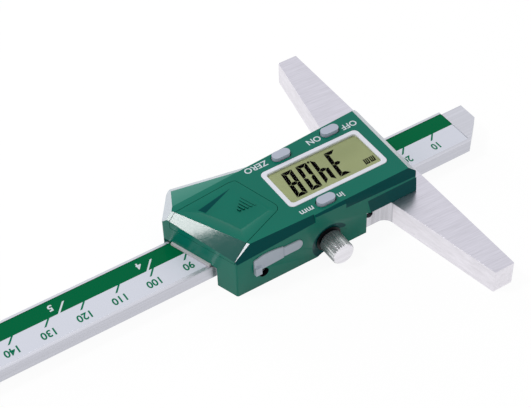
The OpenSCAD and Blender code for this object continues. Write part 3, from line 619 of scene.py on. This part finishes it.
# %% [markdown]
# Printing is a layer of ink with almost no thickness. A picture of it would blur when seen
# from close by, and a flat mesh on the face below would shimmer. So marks, digits and words
# are thin slabs that stand two hundredths of a millimetre proud and reach a little into the
# face. The first helper makes a mesh from flat outlines.

# %% Ink from outlines
INK_T = 0.02
INK_SINK = 0.01


def ink_mesh(name, outlines, z, material, body):
    """Flat convex outlines in millimetres, at height z, as one thin mesh."""
    vertices, faces = [], []
    for outline in outlines:
        first = len(vertices)
        count = len(outline)
        vertices += [(x * MM, y * MM, (z - INK_SINK) * MM) for x, y in outline]
        vertices += [(x * MM, y * MM, (z + INK_T) * MM) for x, y in outline]
        faces.append([first + count + k for k in range(count)])
        faces.append([first + k for k in reversed(range(count))])
        for k in range(count):
            n = (k + 1) % count
            faces.append([first + k, first + n, first + count + n, first + count + k])
    mesh = bpy.data.meshes.new(name)
    mesh.from_pydata(vertices, [], faces)
    mesh.materials.append(material)
    piece = bpy.data.objects.new(name, mesh)
    bpy.context.scene.collection.objects.link(piece)
    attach(piece, body)
    print(name, "has", len(outlines), "shapes")
    return piece


print("ink stands", INK_T, "mm proud")

# %% [markdown]
# Letters could be drawn as outlines too, but Blender has text objects with a plain font. Each
# text is set, turned into a mesh and joined to the others, so that a whole row of numbers is
# one piece. All of them read from the far side, so they are turned half round.

# %% Ink from text
HALF_TURN = math.radians(180)
LETTER_STEPS = 4
LETTER_WELD = 0.0005


def words(name, entries, size, z, material, body, stretch=1.0, bold=0.0):
    """Text as thin meshes. An entry is the text and its middle."""
    joined = bmesh.new()
    for text, (x, y) in entries:
        curve = bpy.data.curves.new(name, "FONT")
        curve.body = text
        curve.align_x = "CENTER"
        curve.align_y = "CENTER"
        curve.size = size * MM
        curve.offset = bold * MM
        curve.extrude = (INK_T + INK_SINK) / 2 * MM
        curve.resolution_u = LETTER_STEPS
        holder = bpy.data.objects.new(name + "_text", curve)
        bpy.context.scene.collection.objects.link(holder)
        holder.scale = (stretch, 1, 1)
        holder.rotation_euler = (0, 0, HALF_TURN)
        holder.location = (x * MM, y * MM, (z + (INK_T - INK_SINK) / 2) * MM)
        bpy.context.view_layer.update()
        part = bpy.data.meshes.new_from_object(holder)
        part.transform(holder.matrix_world)
        joined.from_mesh(part)
        bpy.data.objects.remove(holder)
        bpy.data.meshes.remove(part)
    bmesh.ops.remove_doubles(joined, verts=joined.verts, dist=LETTER_WELD * MM)
    mesh = bpy.data.meshes.new(name)
    joined.to_mesh(mesh)
    joined.free()
    mesh.materials.clear()
    mesh.materials.append(material)
    piece = bpy.data.objects.new(name, mesh)
    bpy.context.scene.collection.objects.link(piece)
    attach(piece, body)
    print(name, "has", len(entries), "words")
    return piece


print("letters are", round(INK_T + INK_SINK, 3), "mm thick")

# %% [markdown]
# The scale's zero lies a little behind the tip's end, and a mark for some length sits that
# far towards the tail. Whole centimetres are marked on the pale field and whole inches on the
# green one. Each mark is a slanted bar from the line between the fields. A list of places
# would be long, so the marks are counted out from zero as far as the film goes.

# %% Scale marks
SCALE_ZERO = 23.2
CENTIMETRE = 10
INCH = 25.4
CENTIMETRE_ROOM = 3
INCH_ROOM = 5
MARK_W = 0.62
MARK_LEAN = 0.87
MM_MARK = (-0.98, BORDER_Y)
INCH_MARK = (BORDER_Y, 4.22)
ink_green = moulded("green ink", linear(0, 122, 88), rough=(0.35, 0.45), specular=0.05)
ink_white = moulded("white ink", linear(226, 232, 240), rough=(0.35, 0.45), specular=0.2)


def counts(step, room):
    """The numbers 1, 2, 3 and on, as far as marks with this step fit on the film."""
    return range(1, int((SCALE_ZERO - room - label_low.x) / step) + 1)


def slanted_mark(x, low_y, high_y):
    half = MARK_W / 2
    low_x = x + MARK_LEAN * (low_y - BORDER_Y)
    high_x = x + MARK_LEAN * (high_y - BORDER_Y)
    return [(low_x - half, low_y), (low_x + half, low_y),
            (high_x + half, high_y), (high_x - half, high_y)]


centimetres = counts(CENTIMETRE, CENTIMETRE_ROOM)
inches = counts(INCH, INCH_ROOM)
ink_mesh("millimetre_marks",
         [slanted_mark(SCALE_ZERO - n * CENTIMETRE, *MM_MARK) for n in centimetres],
         label_high.z, ink_green, "sliding_beam")
ink_mesh("inch_marks",
         [slanted_mark(SCALE_ZERO - n * INCH, *INCH_MARK) for n in inches],
         label_high.z, ink_white, "sliding_beam")

# %% [markdown]
# The numbers stand a little to the tail side of their marks: millimetres in green, inches in
# white. They are printed bold. A bold font would be another file to carry along, so the
# outline of the plain one is made wider.

# %% Scale numbers
MM_DIGIT = Vector((-2.0, -3.22))
INCH_DIGIT = Vector((-1.1, 3.98))
MM_DIGIT_SIZE = 3.3
INCH_DIGIT_SIZE = 2.9
DIGIT_BOLD = 0.08


def number_at(offset, value):
    return offset + Vector((SCALE_ZERO - value, 0))


words("millimetre_numbers",
      [(str(n * CENTIMETRE), number_at(MM_DIGIT, n * CENTIMETRE)) for n in centimetres],
      MM_DIGIT_SIZE, label_high.z, ink_green, "sliding_beam", stretch=0.9, bold=DIGIT_BOLD)
words("inch_numbers",
      [(str(n), number_at(INCH_DIGIT, n * INCH)) for n in inches],
      INCH_DIGIT_SIZE, label_high.z, ink_white, "sliding_beam", bold=DIGIT_BOLD)

# %% [markdown]
# The words by the buttons are plain white print that says what the buttons do. They are made
# like the numbers. Their places come from the photograph, because such words don't keep one
# distance from their buttons, and their height is the housing's top.

# %% Words on the housing
KEY_WORDS = [
    ("ZERO", (-40.1, 9.1)), ("ON", (-21.6, 9.1)), ("OFF", (-10.2, 8.8)),
    ("mm", (-37.8, -11.8)), ("in", (-27.4, -12.0)),
]
WORD_SIZE = 2.75
WORD_BOLD = 0.04
words("key_words", KEY_WORDS, WORD_SIZE, cap_top, ink_white, "gauge_base", bold=WORD_BOLD)

# %% [markdown]
# A display digit is seven bars that meet on slanting cuts. No plain font has that form, so
# each bar is an outline in the digit's own millimetres, from its lower left corner. Four of
# the bars are others turned over, so only three are written out.

# %% Bars of a display digit
DIGIT_W = 3.35
DIGIT_H = 9.7
BAR = 1.18
CUT = 0.07


def upside_down(bar):
    return [(x, DIGIT_H - y) for x, y in bar]


def mirrored(bar):
    return [(DIGIT_W - x, y) for x, y in bar]


def bar_outlines():
    w, h, m, t = DIGIT_W, DIGIT_H, DIGIT_H / 2, BAR
    top = [(CUT, h), (t + CUT, h - t), (w - t - CUT, h - t), (w - CUT, h)]
    upper_right = [(w, h - CUT), (w - t, h - t - CUT), (w - t, m + t / 2 + CUT),
                   (w - t / 2, m + CUT), (w, m + CUT)]
    middle = [(t / 2 + CUT, m), (t + CUT, m - t / 2), (w - t - CUT, m - t / 2),
              (w - t / 2 - CUT, m), (w - t - CUT, m + t / 2), (t + CUT, m + t / 2)]
    return {
        "a": top, "d": upside_down(top), "g": middle,
        "b": upper_right, "c": upside_down(upper_right),
        "f": mirrored(upper_right), "e": upside_down(mirrored(upper_right)),
    }


bars = bar_outlines()
print("bars of a digit:", " ".join(sorted(bars)))

# %% [markdown]
# The reading lights some of the bars of each digit, and a point. The unit is two letters m,
# each of three posts under a bar. All of it is one mesh, slanted as such displays are, and
# turned half round because it reads from the far side.

# %% Reading and unit
READING = "34.08"
LIT = {
    "0": "abcdef", "1": "bc", "2": "abged", "3": "abgcd", "4": "fgbc",
    "5": "afgcd", "6": "afgedc", "7": "abc", "8": "abcdefg", "9": "abcdfg",
}
DIGIT_CORNER = Vector((-18.7, 3.72))
DIGIT_PITCH = 4.56
DIGIT_SLANT = 0.118
POINT = [(-0.95, 0), (-0.35, 0), (-0.35, 0.75), (-0.95, 0.75)]
UNIT_CORNER = Vector((-11.4, -4.0))
UNIT_W, UNIT_H, UNIT_BAR, UNIT_PITCH = 1.5, 2.0, 0.38, 1.8
UNIT_POSTS = 3
ink_black = moulded("crystal black", linear(8, 6, 6), rough=(0.4, 0.5), specular=0.0)


def anticlockwise(outline):
    """The outline in the order that makes its top face look up."""
    pairs = zip(outline, outline[1:] + outline[:1])
    twice_area = sum(a[0] * b[1] - b[0] * a[1] for a, b in pairs)
    return outline if twice_area > 0 else outline[::-1]


def on_the_display(outline, corner):
    return anticlockwise([(corner.x - x - y * DIGIT_SLANT, corner.y - y) for x, y in outline])


def rectangle(x0, x1, y0, y1):
    return [(x0, y0), (x1, y0), (x1, y1), (x0, y1)]


shapes = []
corner = DIGIT_CORNER.copy()
for character in READING:
    if character == ".":
        shapes.append(on_the_display(POINT, corner))
        continue
    shapes += [on_the_display(bars[name], corner) for name in LIT[character]]
    corner.x -= DIGIT_PITCH

for left in (0, UNIT_PITCH):
    for post in range(UNIT_POSTS):
        x = left + post * (UNIT_W - UNIT_BAR) / (UNIT_POSTS - 1)
        shapes.append(on_the_display(rectangle(x, x + UNIT_BAR, 0, UNIT_H), UNIT_CORNER))
    bar = rectangle(left, left + UNIT_W, UNIT_H - UNIT_BAR, UNIT_H)
    shapes.append(on_the_display(bar, UNIT_CORNER))
ink_mesh("reading", shapes, panel_top, ink_black, "gauge_base")

# %% [markdown]
# The picture's background is white. Stronger lamps would make the floor white, but they would
# bleach the gauge too. The Light Path node tells which rays come from the camera, off metal
# or through glass. Only those see white, and every other ray sees a plain floor and a plain
# sky.

# %% Rays that see the background
def background_rays(tree):
    """One for rays from the camera, off gloss or through glass, and zero for the others."""
    rays = tree.nodes.new("ShaderNodeLightPath").outputs
    chosen = rays["Is Camera Ray"]
    for kind in ("Is Glossy Ray", "Is Transmission Ray"):
        either = tree.nodes.new("ShaderNodeMath")
        either.operation = "MAXIMUM"
        tree.links.new(chosen, either.inputs[0])
        tree.links.new(rays[kind], either.inputs[1])
        chosen = either.outputs[0]
    return chosen


print("the background is kept apart from the light")

# %% [markdown]
# The gauge lies on a pale floor, as in a catalogue picture. The floor could be left out, but
# then nothing would show that the gauge rests on something. A tenth of it is a real surface
# that takes the shadow, and the rest is white for the rays chosen above. It is four metres
# wide and lies just under the housing's lowest face.

# %% Floor
FLOOR_METRES = 4.0
FLOOR_GAP = 0.02
FLOOR_TONE = 0.9
GLOW_STRENGTH = 1.03
GLOW_SHARE = 0.9

floor_z = (housing_bottom - FLOOR_GAP) * MM
bpy.ops.mesh.primitive_plane_add(size=FLOOR_METRES, location=(0, 0, floor_z))
floor = bpy.context.object
floor.name = "floor"
floor_finish = Finish("pale floor", (FLOOR_TONE,) * 3, rough=0.6)
glow = floor_finish.node("Emission", Strength=GLOW_STRENGTH)
share = floor_finish.node("Math", operation="MULTIPLY")
share.inputs[1].default_value = GLOW_SHARE
floor_finish.link(background_rays(floor_finish.tree), share.inputs[0])
blend = floor_finish.node("MixShader")
floor_finish.link(share.outputs[0], blend.inputs["Fac"])
floor_finish.link(floor_finish.shader.outputs["BSDF"], blend.inputs[1])
floor_finish.link(glow.outputs["Emission"], blend.inputs[2])
floor_output = floor_finish.tree.nodes["Material Output"]
floor_finish.link(blend.outputs["Shader"], floor_output.inputs["Surface"])
floor.data.materials.append(floor_finish.material)
print("floor at", round(floor_z / MM, 2), "mm")

# %% [markdown]
# Two square lamps light the gauge, with their places and sizes in metres. The small one, high
# beyond the tail, is the lamp that the end bevel mirrors. The larger one stands lower behind
# the back edge and adds a little light all over. A sun lamp would be simpler, but its mirror
# image is a dot, while a square lamp draws a bright patch.

# %% Lamps
LAMP_AIM = Vector((-0.04, 0.0, 0.0))


def square_lamp(name, at, side, power):
    data = bpy.data.lights.new(name, "AREA")
    data.shape = "RECTANGLE"
    data.size = data.size_y = side
    data.energy = power
    lamp = bpy.data.objects.new(name, data)
    lamp.location = at
    lamp.rotation_euler = (LAMP_AIM - Vector(at)).to_track_quat("-Z", "Y").to_euler()
    bpy.context.scene.collection.objects.link(lamp)
    print(name, "gives", power, "W")


square_lamp("top lamp", (-0.61, 0.341, 0.95), 0.2, 3.1)
square_lamp("back lamp", (-0.1, 1.2, 0.4), 0.5, 3.6)

# %% [markdown]
# The sky fills the shadows. Another lamp could do that, but it would add a highlight of its
# own. The sky is only moderately bright where it lights the gauge, and white where it is
# seen, for the same reason as the floor.

# %% Sky
SKY_LIGHT = 0.55
SKY_SEEN = 1.0

world = bpy.data.worlds.new("studio")
bpy.context.scene.world = world
world.use_nodes = True
sky = world.node_tree
sky.nodes.clear()
sky_output = sky.nodes.new("ShaderNodeOutputWorld")
sky_mix = sky.nodes.new("ShaderNodeMixShader")
for socket, strength in ((1, SKY_LIGHT), (2, SKY_SEEN)):
    background = sky.nodes.new("ShaderNodeBackground")
    background.inputs["Color"].default_value = (1, 1, 1, 1)
    background.inputs["Strength"].default_value = strength
    sky.links.new(background.outputs["Background"], sky_mix.inputs[socket])
sky.links.new(background_rays(sky), sky_mix.inputs["Fac"])
sky.links.new(sky_mix.outputs["Shader"], sky_output.inputs["Surface"])
bpy.context.scene.view_settings.view_transform = "Standard"
print("sky light:", SKY_LIGHT)

# %% [markdown]
# Last, the script says that it has finished.


print("the scene is set up")
